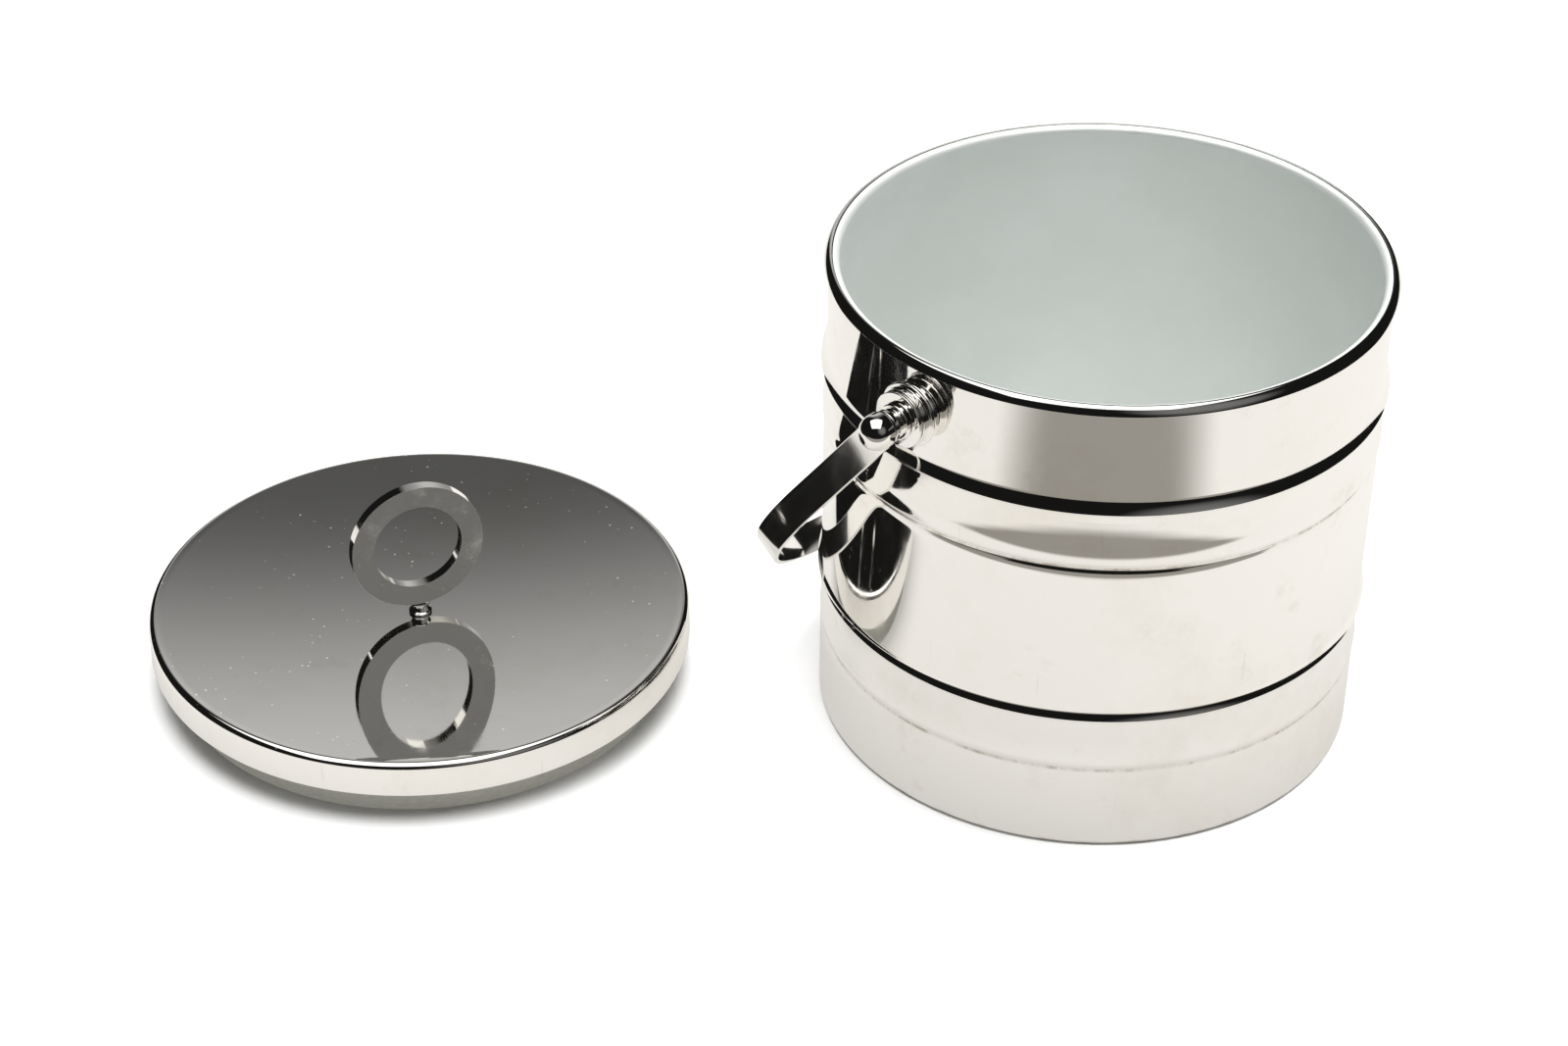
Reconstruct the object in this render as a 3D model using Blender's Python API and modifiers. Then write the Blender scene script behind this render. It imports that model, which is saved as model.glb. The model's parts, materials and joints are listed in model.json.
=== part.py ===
"""Insulated silver champagne bucket with a swinging strap handle and a lift-off lid.

The bucket stands on the origin, +Z up.  The lid lies beside it on -X, on its own plug, as it does
when ice is being served.  Each piece is a separate solid; turned pieces are profiles with a Screw
modifier, the handle is a bent ribbon, and the finial is a flat oval ring on a stem.
"""

import math

import bmesh
import bpy
from mathutils import Matrix, Vector

MM = 0.001
GAP = 0.3 * MM

# Bucket, heights above the table and radii from its axis
SHELL_TOP = 186.0 * MM
SHELL_BOTTOM = 1.0 * MM
SHEET = 1.0 * MM
BODY_R = 100.4 * MM
DRUM_R = 101.1 * MM
DRUM_LOW_R = 100.75 * MM
FOOT_R = 100.8 * MM
SHELL_IN_R = 99.4 * MM
UPPER_RIDGE_Z = 145.7 * MM
UPPER_RIDGE_R = 102.4 * MM
UPPER_RIDGE_SWELL = 4.9 * MM
LOWER_RIDGE_Z = 57.6 * MM
LOWER_RIDGE_R = 102.1 * MM
LOWER_RIDGE_SWELL = 3.2 * MM
RIDGE_EDGE = 0.8 * MM
RIDGE_UNDER = 1.4 * MM
RIDGE_POWER = 1.5
UPPER_BEAD_Z = 125.6 * MM
UPPER_BEAD_R = 101.6 * MM
UPPER_BEAD_SWELL = 13.5 * MM
UPPER_BEAD_CROWN = 3.0 * MM
LOWER_BEAD_Z = 37.2 * MM
LOWER_BEAD_R = 101.1 * MM
LOWER_BEAD_SWELL = 9.0 * MM
LOWER_BEAD_CROWN = 1.4 * MM
BEAD_EASE = 0.15 * MM
BEAD_UNDER = 1.2 * MM
BEAD_POWER = 2.5
WAIST_R = 100.35 * MM
WAIST_Z = 122.4 * MM
WAIST_BOTTOM_Z = 121.7 * MM
DRUM_BEND_R = 100.8 * MM
DRUM_BEND_Z = 119.8 * MM
DRUM_TOP_Z = 112.0 * MM
SKIRT_R = 100.6 * MM
SKIRT_TOP_Z = 34.8 * MM
SKIRT_BOTTOM_Z = 31.0 * MM
BOTTOM_LAP_R = 90.0 * MM
RIM_R = 102.1 * MM
RIM_INNER_R = 99.2 * MM
RIM_SKIRT_Z = 184.9 * MM
RIM_SIDE_ROUND = 6.2 * MM
RIM_CROWN_ROUND = 2.2 * MM
RIM_LOW_TILT = 18
RIM_CROWN_TILT = 44
RIM_TOP_TILT = 87
LINER_R = 97.3 * MM
LINER_IN_R = 96.3 * MM
LINER_FLOOR = 15.0 * MM
LINER_CORNER = 7.0 * MM
LIP_R = 98.85 * MM
LIP_TOP = 187.5 * MM
JACKET_TOP = 160.0 * MM
GASKET_BOTTOM = 178.0 * MM
GASKET_TOP = 183.0 * MM
FELT_R = 98.0 * MM
FELT_TOP = 0.7 * MM
BASE_PLATE = 1.2 * MM
BASE_FILL_R = 95.0 * MM

# Handle: a flat strap bent into a U that hangs from two pivots
PIVOT_Z = 168.8 * MM
PIVOT_ANGLE = math.radians(228.32)
REST_ANGLE = math.radians(52.0)
STRAP_REACH = 116.3 * MM
STRAP_LEG = 57.9 * MM
STRAP_APEX = 172.8 * MM
STRAP_THICK = 2.0 * MM
STRAP_WIDTH = 12.0 * MM
STRAP_HOLE_R = 3.7 * MM

# Pivot pieces, distances from the bucket's axis along the pivot axis
SCREW_HEAD_IN = 97.9 * MM
SCREW_HEAD_OUT = 98.9 * MM
SCREW_HEAD_R = 5.5 * MM
SCREW_R = 2.0 * MM
SCREW_TIP = {"near": 121.0 * MM, "far": 119.3 * MM}
FOOT_OUT = 104.2 * MM
DRUM_IN = 104.5 * MM
DRUM_OUT = 108.7 * MM
DRUM_STEP = 109.2 * MM
DISC_IN = 109.5 * MM
DISC_OUT = 110.7 * MM
PIVOT_FOOT_R = 11.0 * MM
PIVOT_DRUM_R = 10.3 * MM
PIVOT_FLANGE_R = 11.8 * MM
PIVOT_FLANGE_OUT = 105.9 * MM
BUSH_IN = 111.0 * MM
BUSH_COLLAR = 112.8 * MM
BUSH_OUT = 115.0 * MM
BUSH_R = 6.6 * MM
BUSH_NECK_R = 5.0 * MM
SHOULDER_R = 3.4 * MM
SHOULDER_OUT = 117.5 * MM
NUT_IN = 117.8 * MM
NUT_R = 6.4 * MM
NUT_DOME_AT = 121.0 * MM
LOW_NUT_R = 4.4 * MM
LOW_NUT_TOP = 120.8 * MM
LOW_NUT_EDGE = 118.9 * MM

# Lid, heights above the table that it lies on
LID_X = -255.2 * MM
LID_TOP = 27.5 * MM
LID_EDGE = 13.65 * MM
LID_R = 103.95 * MM
LID_SHOULDER = 2.5 * MM
LID_DISH = 5.6 * MM
LID_CENTRE = LID_TOP - LID_DISH
PLUG_R = 95.5 * MM
PLUG_CORNER = 1.5 * MM
PAN_FLANGE_R = 102.6 * MM
PAN_FLANGE_Z = 14.0 * MM
LID_FILL_HOLE_R = 10.0 * MM

# Finial
FINIAL_HALF_WIDTH = 26.0 * MM
FINIAL_HALF_HEIGHT = 26.5 * MM
FINIAL_BAND = 8.6 * MM
FINIAL_THICK = 4.2 * MM
FINIAL_ROUND = 0.8 * MM
FINIAL_TURN = math.radians(25.0)
FINIAL_BASE_Z = LID_CENTRE + 4.8 * MM
STEM_R = 4.4 * MM
STEM_WAIST_R = 3.4 * MM
FINIAL_SCREW_R = 1.6 * MM
FINIAL_SCREW_TIP = FINIAL_BASE_Z + 4.6 * MM
FINIAL_SCREW_HEAD_R = 4.0 * MM
FINIAL_SCREW_HEAD_Z = LID_CENTRE - 4.8 * MM
BACK_WASHER_R = 8.0 * MM
BACK_WASHER_Z = LID_CENTRE - 2.5 * MM

BODY_STEPS = 48
PIVOT_STEPS = 20
MERGE = 0.00001
SHARP_ANGLE = math.radians(35.0)

FINISHES = {
    "silver": ((0.91, 0.90, 0.87), 0.06, 1.0),
    "satin_aluminium": ((0.66, 0.69, 0.67), 0.42, 0.9),
    "steel": ((0.55, 0.55, 0.56), 0.30, 1.0),
    "foam": ((0.85, 0.80, 0.66), 0.90, 0.0),
    "rubber": ((0.05, 0.05, 0.05), 0.70, 0.0),
    "felt": ((0.04, 0.07, 0.05), 0.95, 0.0),
}


def clear_scene():
    for obj in list(bpy.data.objects):
        bpy.data.objects.remove(obj, do_unlink=True)


def new_collection(name):
    made = bpy.data.collections.new(name)
    bpy.context.scene.collection.children.link(made)
    return made


def new_material(name, finish):
    colour, roughness, metallic = FINISHES[finish]
    made = bpy.data.materials.new(name)
    made.use_nodes = True
    shader = made.node_tree.nodes["Principled BSDF"]
    shader.inputs["Base Color"].default_value = (*colour, 1.0)
    shader.inputs["Roughness"].default_value = roughness
    shader.inputs["Metallic"].default_value = metallic
    return made


def bake(obj):
    """Turns the modifiers of obj into its mesh, shaded smooth up to the sharp angle."""
    graph = bpy.context.evaluated_depsgraph_get()
    mesh = bpy.data.meshes.new_from_object(obj.evaluated_get(graph))
    obj.modifiers.clear()
    obj.data = mesh
    mesh.shade_smooth()
    mesh.set_sharp_from_angle(angle=SHARP_ANGLE)


def add_piece(name, mesh, finish, parent=None):
    obj = bpy.data.objects.new(name, mesh)
    PARTS.objects.link(obj)
    obj.parent = parent
    mesh.materials.append(new_material(name + "_finish", finish))
    return obj


def add_guide(name, mesh, parent=None):
    """A cutter: wire display, left out of the render."""
    obj = bpy.data.objects.new(name, mesh)
    CUTTERS.objects.link(obj)
    obj.parent = parent
    obj.hide_render = True
    obj.display_type = "WIRE"
    return obj


def add_axis(name, matrix):
    empty = bpy.data.objects.new(name, None)
    PARTS.objects.link(empty)
    empty.matrix_world = matrix
    return empty


def arc(centre, radius, start, end, count):
    """Points of an arc in (radius, height), angles in degrees from +X."""
    points = []
    for index in range(count + 1):
        angle = math.radians(start + (end - start) * index / count)
        points.append((centre[0] + radius * math.cos(angle), centre[1] + radius * math.sin(angle)))
    return points


def flare(top, bottom, count, power):
    """A wall that leaves the vertical at top and swells, ever faster, down to bottom."""
    points = []
    for index in range(count + 1):
        part = index / count
        points.append((top[0] + (bottom[0] - top[0]) * part**power, top[1] + (bottom[1] - top[1]) * part))
    return points


def dish(inner, outer, drop, count):
    """The lid's shallow bowl from radius inner out to radius outer, drop below its top surface."""
    points = []
    for index in range(count + 1):
        radius = inner + (outer - inner) * index / count
        sunk = LID_DISH * (1.0 - (radius / (LID_R - LID_SHOULDER)) ** 2)
        points.append((radius, LID_TOP - sunk - drop))
    return points


def profile_mesh(name, points, closed):
    mesh = bpy.data.meshes.new(name)
    build = bmesh.new()
    verts = [build.verts.new((radius, 0.0, height)) for radius, height in points]
    pairs = list(zip(verts, verts[1:]))
    if closed:
        pairs.append((verts[-1], verts[0]))
    for pair in pairs:
        build.edges.new(pair)
    build.to_mesh(mesh)
    build.free()
    return mesh


def turn(obj, steps):
    screw = obj.modifiers.new("turned", "SCREW")
    screw.axis = "Z"
    screw.angle = math.tau
    screw.screw_offset = 0.0
    screw.steps = steps
    screw.render_steps = steps
    screw.use_merge_vertices = True
    screw.merge_threshold = MERGE
    bake(obj)


def turned(name, points, finish, steps=BODY_STEPS, parent=None):
    """A turned solid.  A profile that starts on the axis is open; any other is a closed loop."""
    closed = points[0][0] > MERGE
    obj = add_piece(name, profile_mesh(name, points, closed), finish, parent)
    turn(obj, steps)
    return obj


def ring(name, inner, outer, bottom, top, finish, steps=BODY_STEPS, parent=None):
    points = [(outer, top), (outer, bottom), (inner, bottom), (inner, top)]
    return turned(name, points, finish, steps, parent)


def disc(name, radius, bottom, top, finish, parent=None):
    return turned(name, [(0.0, top), (radius, top), (radius, bottom), (0.0, bottom)], finish, parent=parent)


def rod_cutter(name, radius, bottom, top, parent, steps=PIVOT_STEPS):
    points = [(0.0, top), (radius, top), (radius, bottom), (0.0, bottom)]
    cutter = add_guide(name, profile_mesh(name, points, False), parent)
    turn(cutter, steps)
    return cutter


def cut(obj, cutter, operation="DIFFERENCE"):
    boolean = obj.modifiers.new(cutter.name, "BOOLEAN")
    boolean.operation = operation
    boolean.object = cutter
    boolean.solver = "EXACT"


def pivot_side(side):
    """Frame of one pivot: origin on the bucket's axis, local +Z outward along the pivot axis."""
    outward = PIVOT_ANGLE if side == "near" else PIVOT_ANGLE + math.pi
    turn_out = Matrix.Rotation(outward, 4, "Z") @ Matrix.Rotation(math.pi / 2, 4, "Y")
    return Matrix.Translation((0.0, 0.0, PIVOT_Z)) @ turn_out


def ridge(top_r, swell, crest, under_r):
    """Sharp ridge: the wall swells from top_r to its crest, then tucks straight back to under_r."""
    radius, height = crest
    points = flare((top_r, height + swell), crest, 3, RIDGE_POWER)
    points += [(radius - 0.1 * MM, height - RIDGE_EDGE), (under_r, height - RIDGE_UNDER)]
    return points


def bead(top_r, swell, peak, crown):
    """Soft bead: a long swell from top_r into a rounded crown, and a short return below it."""
    radius, height = peak
    side_r = radius - BEAD_EASE
    points = flare((top_r, height + swell), (side_r, height + crown), 2, BEAD_POWER)
    points += [peak, (side_r, height - BEAD_UNDER)]
    return points


def outer_shell(axes):
    """Silver-plated wall: two flared ridges, two beads, and a lap turned in under the base."""
    outer = [(BODY_R, SHELL_TOP)]
    outer += ridge(BODY_R, UPPER_RIDGE_SWELL, (UPPER_RIDGE_R, UPPER_RIDGE_Z), BODY_R + 0.2 * MM)
    outer += bead(BODY_R, UPPER_BEAD_SWELL, (UPPER_BEAD_R, UPPER_BEAD_Z), UPPER_BEAD_CROWN)
    outer += [(WAIST_R, WAIST_Z), (WAIST_R, WAIST_BOTTOM_Z)]
    outer += [(DRUM_BEND_R, DRUM_BEND_Z), (DRUM_R, DRUM_TOP_Z)]
    outer += ridge(DRUM_LOW_R, LOWER_RIDGE_SWELL, (LOWER_RIDGE_R, LOWER_RIDGE_Z), DRUM_LOW_R)
    outer += bead(SKIRT_R, LOWER_BEAD_SWELL, (LOWER_BEAD_R, LOWER_BEAD_Z), LOWER_BEAD_CROWN)
    outer += [(SKIRT_R, SKIRT_TOP_Z), (FOOT_R, SKIRT_BOTTOM_Z)]
    outer += arc((FOOT_R - SHEET, SHELL_BOTTOM + SHEET), SHEET, 0, -90, 2)
    inner = [(BOTTOM_LAP_R, SHELL_BOTTOM), (BOTTOM_LAP_R, SHELL_BOTTOM + SHEET)]
    inner += [(SHELL_IN_R, SHELL_BOTTOM + SHEET), (SHELL_IN_R, SHELL_TOP)]
    shell = turned("outer_shell", outer + inner, "silver")
    for side, axis in axes.items():
        hole = rod_cutter("shell_hole_" + side, SCREW_R + GAP, SCREW_HEAD_OUT - MM, FOOT_OUT, axis)
        cut(shell, hole)


def rim_ring():
    """Rolled silver rim that hooks over the top of the shell: a steep round side and a tight crown."""
    low = math.radians(RIM_LOW_TILT)
    crown = math.radians(RIM_CROWN_TILT)
    side = (RIM_R - RIM_SIDE_ROUND * math.cos(low), RIM_SKIRT_Z - RIM_SIDE_ROUND * math.sin(low))
    step = RIM_SIDE_ROUND - RIM_CROWN_ROUND
    top = (side[0] + step * math.cos(crown), side[1] + step * math.sin(crown))
    points = arc(top, RIM_CROWN_ROUND, RIM_TOP_TILT, RIM_CROWN_TILT, 2)
    points += arc(side, RIM_SIDE_ROUND, RIM_CROWN_TILT, RIM_LOW_TILT, 2)[1:]
    points += [(BODY_R + GAP, RIM_SKIRT_Z), (BODY_R + GAP, SHELL_TOP + GAP)]
    points += [(RIM_INNER_R, SHELL_TOP + GAP)]
    turned("rim_ring", points, "silver")


def inner_liner():
    """Satin aluminium cup whose lip curls out to the rim."""
    lip = (LIP_R, LIP_TOP - (LIP_R - LINER_IN_R))
    corner = (LINER_IN_R - LINER_CORNER, LINER_FLOOR + LINER_CORNER)
    points = [(0.0, LINER_FLOOR)]
    points += arc(corner, LINER_CORNER, -90, 0, 2)
    points += arc(lip, LIP_R - LINER_IN_R, 180, 90, 3)
    points += arc(lip, LIP_R - LINER_R, 90, 180, 2)
    points += arc(corner, LINER_CORNER + SHEET, 0, -90, 2)
    points += [(0.0, LINER_FLOOR - SHEET)]
    turned("inner_liner", points, "satin_aluminium")


def bucket_filling():
    """Base closure, felt, insulation and gasket between the two walls."""
    plate_z = SHELL_BOTTOM + SHEET + GAP
    plate_top = plate_z + BASE_PLATE
    gap_in = LINER_R + GAP
    gap_out = SHELL_IN_R - GAP
    disc("base_felt", FELT_R, 0.0, FELT_TOP, "felt")
    disc("base_plate", gap_out, plate_z, plate_top, "steel")
    disc("base_insulation", BASE_FILL_R, plate_top + GAP, LINER_FLOOR - SHEET - GAP, "foam")
    ring("insulation_jacket", gap_in, gap_out, plate_top + GAP, JACKET_TOP, "foam")
    ring("rim_gasket", gap_in, gap_out, GASKET_BOTTOM, GASKET_TOP, "rubber")


def dome_nut():
    """Outside of the near cap nut, from the tip in: a half ball on a short barrel."""
    points = [(0.0, NUT_DOME_AT + NUT_R)]
    points += arc((0.0, NUT_DOME_AT), NUT_R, 72, 0, 4)
    points += [(NUT_R, NUT_IN + 0.8 * MM), (NUT_R - 0.8 * MM, NUT_IN)]
    return points


def low_nut():
    """Outside of the far cap nut, from the tip in: a low dome."""
    rise = LOW_NUT_TOP - LOW_NUT_EDGE
    points = [(0.0, LOW_NUT_TOP)]
    for angle in (65, 45, 25, 0):
        turned_by = math.radians(angle)
        points.append((LOW_NUT_R * math.cos(turned_by), LOW_NUT_EDGE + rise * math.sin(turned_by)))
    points.append((LOW_NUT_R, NUT_IN))
    return points


def pivot_pieces(side, axis, wall_cutter):
    """The stack that carries one end of the handle, from the hidden screw head out to the cap nut."""
    bore = SCREW_R + GAP

    def piece(name, points, finish="silver"):
        return turned(f"{name}_{side}", points, finish, PIVOT_STEPS, axis)

    tip = SCREW_TIP[side]
    screw = [(0.0, tip), (SCREW_R, tip), (SCREW_R, SCREW_HEAD_OUT)]
    screw += [(SCREW_HEAD_R, SCREW_HEAD_OUT), (SCREW_HEAD_R, SCREW_HEAD_IN), (0.0, SCREW_HEAD_IN)]
    piece("pivot_screw", screw, "steel")

    foot_in = BODY_R - 1.2 * MM
    foot = [(PIVOT_FOOT_R, FOOT_OUT), (PIVOT_FOOT_R, FOOT_OUT - 2.0 * MM)]
    foot += [(PIVOT_FOOT_R - 1.6 * MM, foot_in + 1.5 * MM), (PIVOT_FOOT_R - 1.6 * MM, foot_in)]
    foot += [(bore, foot_in), (bore, FOOT_OUT)]
    cut(piece("pivot_foot", foot), wall_cutter)

    drum = [(9.4 * MM, DRUM_STEP), (9.4 * MM, DRUM_OUT), (PIVOT_DRUM_R - 0.4 * MM, DRUM_OUT)]
    drum += [(PIVOT_DRUM_R, DRUM_OUT - 0.4 * MM), (PIVOT_DRUM_R, PIVOT_FLANGE_OUT)]
    drum += [(PIVOT_FLANGE_R - 0.3 * MM, PIVOT_FLANGE_OUT), (PIVOT_FLANGE_R, PIVOT_FLANGE_OUT - 0.3 * MM)]
    drum += [(PIVOT_FLANGE_R, DRUM_IN), (bore, DRUM_IN), (bore, DRUM_STEP)]
    piece("pivot_drum", drum)

    washer = [(PIVOT_DRUM_R - 0.3 * MM, DISC_OUT), (PIVOT_DRUM_R, DISC_OUT - 0.3 * MM)]
    washer += [(PIVOT_DRUM_R, DISC_IN), (bore, DISC_IN), (bore, DISC_OUT)]
    piece("pivot_washer", washer)

    bush = [(SHOULDER_R, SHOULDER_OUT), (SHOULDER_R, BUSH_OUT), (BUSH_NECK_R, BUSH_OUT)]
    bush += [(BUSH_NECK_R, BUSH_COLLAR), (BUSH_R, BUSH_COLLAR), (BUSH_R, BUSH_IN)]
    bush += [(bore, BUSH_IN), (bore, SHOULDER_OUT)]
    piece("handle_bush", bush)

    nut = dome_nut() if side == "near" else low_nut()
    nut += [(bore, NUT_IN), (bore, tip + GAP), (0.0, tip + GAP)]
    piece("cap_nut", nut)


def strap_path():
    """Centre line of the strap in its own plane: straight legs joined by a round bend."""
    overrun = STRAP_WIDTH
    bend = STRAP_APEX - STRAP_LEG
    path = [(STRAP_REACH, -overrun)]
    for index in range(29):
        angle = math.pi * index / 28
        path.append((STRAP_REACH * math.cos(angle), STRAP_LEG + bend * math.sin(angle)))
    path.append((-STRAP_REACH, -overrun))
    return path


def curve_object(name, splines, extrude, closed):
    curve = bpy.data.curves.new(name, "CURVE")
    curve.dimensions = "2D"
    curve.fill_mode = "BOTH" if closed else "NONE"
    curve.extrude = extrude
    for points in splines:
        spline = curve.splines.new("POLY")
        spline.points.add(len(points) - 1)
        spline.use_cyclic_u = closed
        for target, point in zip(spline.points, points):
            target.co = (point[0], point[1], 0.0, 1.0)
    obj = bpy.data.objects.new(name, curve)
    CUTTERS.objects.link(obj)
    return obj


def mesh_from_curve(obj):
    """Mesh of a curve object, its loose caps welded.  The curve is removed."""
    graph = bpy.context.evaluated_depsgraph_get()
    mesh = bpy.data.meshes.new_from_object(obj.evaluated_get(graph))
    curve = obj.data
    bpy.data.objects.remove(obj, do_unlink=True)
    bpy.data.curves.remove(curve)
    build = bmesh.new()
    build.from_mesh(mesh)
    bmesh.ops.remove_doubles(build, verts=build.verts, dist=MERGE)
    bmesh.ops.recalc_face_normals(build, faces=build.faces)
    build.to_mesh(mesh)
    build.free()
    return mesh


def handle(axis):
    """Bent strap with round ends, each drilled for its bush."""
    ribbon = mesh_from_curve(curve_object("strap_path", [strap_path()], STRAP_WIDTH / 2, False))
    strap = add_piece("bail_handle", ribbon, "silver", axis)
    sheet = strap.modifiers.new("sheet", "SOLIDIFY")
    sheet.thickness = STRAP_THICK
    sheet.offset = 0.0
    sheet.use_even_offset = True
    bake(strap)
    radius = STRAP_WIDTH / 2
    outline = [(radius * math.cos(math.radians(angle)), -radius * math.sin(math.radians(angle)))
               for angle in range(0, 181, 18)]
    far_end = STRAP_APEX + STRAP_WIDTH
    outline += [(-radius - GAP, 0.0), (-radius - GAP, far_end), (radius + GAP, far_end), (radius + GAP, 0.0)]
    shape = curve_object("strap_outline", [outline], STRAP_REACH + STRAP_WIDTH, True)
    cutter = add_guide("strap_ends", mesh_from_curve(shape), axis)
    cutter.matrix_local = Matrix.Rotation(math.pi / 2, 4, "Y")
    cut(strap, cutter, "INTERSECT")
    drill_end = STRAP_REACH + STRAP_WIDTH
    drill = rod_cutter("strap_drill", STRAP_HOLE_R, -drill_end, drill_end, axis)
    drill.matrix_local = Matrix.Rotation(math.pi / 2, 4, "Y")
    cut(strap, drill)


def lid_cover(axis):
    """Silver cover: shallow dished top, round shoulder and straight edge band."""
    shoulder = (LID_R - LID_SHOULDER, LID_TOP - LID_SHOULDER)
    bore = FINIAL_SCREW_R + GAP
    points = dish(bore, shoulder[0], 0.0, 4)
    points += arc(shoulder, LID_SHOULDER, 90, 0, 4)[1:]
    points += [(LID_R, LID_EDGE), (LID_R - SHEET, LID_EDGE)]
    points += arc(shoulder, LID_SHOULDER - SHEET, 0, 90, 2)
    points += reversed(dish(bore, shoulder[0], SHEET, 4)[:-1])
    turned("lid_cover", points, "silver", parent=axis)


def lid_pan(axis):
    """Satin plug that drops into the liner, with a flange held inside the cover's edge."""
    corner_in = (PLUG_R - PLUG_CORNER, PLUG_CORNER)
    flange_top = PAN_FLANGE_Z + SHEET
    points = [(0.0, SHEET)]
    points += arc(corner_in, PLUG_CORNER - SHEET, -90, 0, 2)
    points += [(PLUG_R - SHEET, flange_top), (PAN_FLANGE_R, flange_top), (PAN_FLANGE_R, PAN_FLANGE_Z)]
    points += [(PLUG_R, PAN_FLANGE_Z)]
    points += arc(corner_in, PLUG_CORNER, 0, -90, 3)
    points += [(0.0, 0.0)]
    turned("lid_pan", points, "satin_aluminium", parent=axis)


def lid_filling(axis):
    """Insulation in the plug, and the fastening that holds the finial through the cover."""
    bore = FINIAL_SCREW_R + GAP
    fill_r = PLUG_R - SHEET - PLUG_CORNER
    filling = dish(LID_FILL_HOLE_R, fill_r, SHEET + GAP, 3)
    filling += [(fill_r, SHEET + GAP), (LID_FILL_HOLE_R, SHEET + GAP)]
    turned("lid_insulation", filling, "foam", parent=axis)
    washer_top = LID_CENTRE - SHEET - GAP
    ring("finial_washer", bore, BACK_WASHER_R, BACK_WASHER_Z, washer_top, "steel", PIVOT_STEPS, axis)
    head_top = BACK_WASHER_Z - GAP
    screw = [(0.0, FINIAL_SCREW_TIP), (FINIAL_SCREW_R, FINIAL_SCREW_TIP), (FINIAL_SCREW_R, head_top)]
    screw += [(FINIAL_SCREW_HEAD_R, head_top), (FINIAL_SCREW_HEAD_R, FINIAL_SCREW_HEAD_Z)]
    screw += [(0.0, FINIAL_SCREW_HEAD_Z)]
    turned("finial_screw", screw, "steel", PIVOT_STEPS, axis)
    stem_z = LID_CENTRE + GAP
    stem_top = FINIAL_BASE_Z - GAP
    stem = [(STEM_R - 0.5 * MM, stem_top), (STEM_WAIST_R, stem_top - 0.8 * MM)]
    stem += [(STEM_WAIST_R, stem_z + 1.2 * MM), (STEM_R, stem_z + 0.8 * MM), (STEM_R, stem_z)]
    stem += [(bore, stem_z), (bore, stem_top)]
    turned("finial_stem", stem, "silver", PIVOT_STEPS, axis)


def ellipse(half_width, half_height, count):
    step = math.tau / count
    angles = [step * index for index in range(count)]
    return [(half_width * math.cos(angle), half_height * math.sin(angle)) for angle in angles]


def finial_ring(axis):
    """Upright oval ring cut from thick plate, its edges rounded, drilled from below for the screw."""
    outer = ellipse(FINIAL_HALF_WIDTH, FINIAL_HALF_HEIGHT, 40)
    inner = ellipse(FINIAL_HALF_WIDTH - FINIAL_BAND, FINIAL_HALF_HEIGHT - FINIAL_BAND, 32)
    shape = curve_object("finial_outline", [outer, inner], FINIAL_THICK / 2, True)
    obj = add_piece("finial_ring", mesh_from_curve(shape), "silver", axis)
    centre_z = FINIAL_BASE_Z + FINIAL_HALF_HEIGHT
    upright = Matrix.Rotation(FINIAL_TURN, 4, "Z") @ Matrix.Rotation(math.pi / 2, 4, "X")
    obj.matrix_local = Matrix.Translation((0.0, 0.0, centre_z)) @ upright
    edges = obj.modifiers.new("rounded_edges", "BEVEL")
    edges.width = FINIAL_ROUND
    edges.segments = 2
    edges.limit_method = "ANGLE"
    edges.angle_limit = math.radians(50.0)
    drill = rod_cutter("finial_drill", FINIAL_SCREW_R + GAP, FINIAL_BASE_Z - MM, FINIAL_SCREW_TIP + GAP, axis)
    cut(obj, drill)


clear_scene()
PARTS = new_collection("champagne_bucket")
CUTTERS = new_collection("cutters")

pivot_axes = {side: add_axis("pivot_axis_" + side, pivot_side(side)) for side in ("near", "far")}
outer_shell(pivot_axes)
rim_ring()
inner_liner()
bucket_filling()
wall = rod_cutter("wall_cutter", BODY_R + GAP, PIVOT_Z - 20 * MM, PIVOT_Z + 14 * MM, None, BODY_STEPS)
for name_of_side, side_axis in pivot_axes.items():
    pivot_pieces(name_of_side, side_axis, wall)

along = Vector((math.cos(PIVOT_ANGLE), math.sin(PIVOT_ANGLE), 0.0))
level = Vector((math.sin(PIVOT_ANGLE), -math.cos(PIVOT_ANGLE), 0.0))
hanging = level * math.cos(REST_ANGLE) - Vector((0.0, 0.0, 1.0)) * math.sin(REST_ANGLE)
across = along.cross(hanging)
swing = Matrix((along, hanging, across)).transposed().to_4x4()
swing.translation = (0.0, 0.0, PIVOT_Z)
handle(add_axis("handle_axis", swing))

lid_axis = add_axis("lid_axis", Matrix.Translation((LID_X, 0.0, 0.0)))
lid_cover(lid_axis)
lid_pan(lid_axis)
lid_filling(lid_axis)
finial_ring(lid_axis)
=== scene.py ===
"""Looks of the insulated silver champagne bucket: fine turned metal, polished finishes and the studio.

Every turned piece is a profile of corners with fillets, spun in fine steps, and stands for its CAD node.
"""

import json
import math

import bmesh
import bpy
from mathutils import Matrix, Vector


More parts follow.
